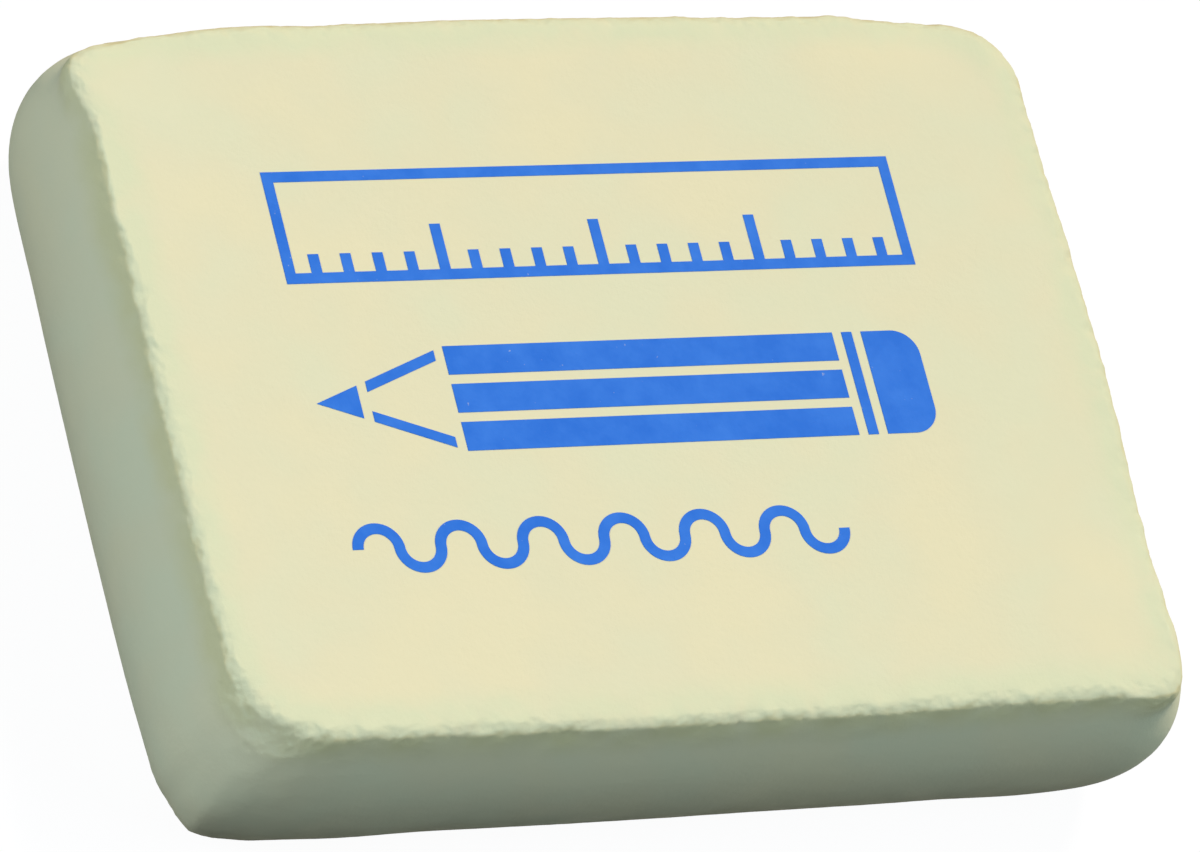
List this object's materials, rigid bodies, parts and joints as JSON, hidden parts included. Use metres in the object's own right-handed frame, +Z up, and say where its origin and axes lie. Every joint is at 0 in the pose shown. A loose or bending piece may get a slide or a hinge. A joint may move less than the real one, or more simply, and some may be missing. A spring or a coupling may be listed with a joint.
{
  "type": "eraser",
  "caption": "Soft rubber desk eraser: a cream block with rounded corners, swelling walls and a plain blue print of a rule, a pencil and a scribble on top.",
  "frame": {"origin": "middle of the flat underside", "axes": "+X along the block, +Y across it towards the print's rule, +Z up through the printed face"},
  "size_m": [0.048, 0.037, 0.01],
  "materials": {
    "rubber": "matte",
    "ink": "matte"
  },
  "bodies": {
    "root": {"eraser_block": "rubber", "top_print": "ink"}
  },
  "joints": []
}
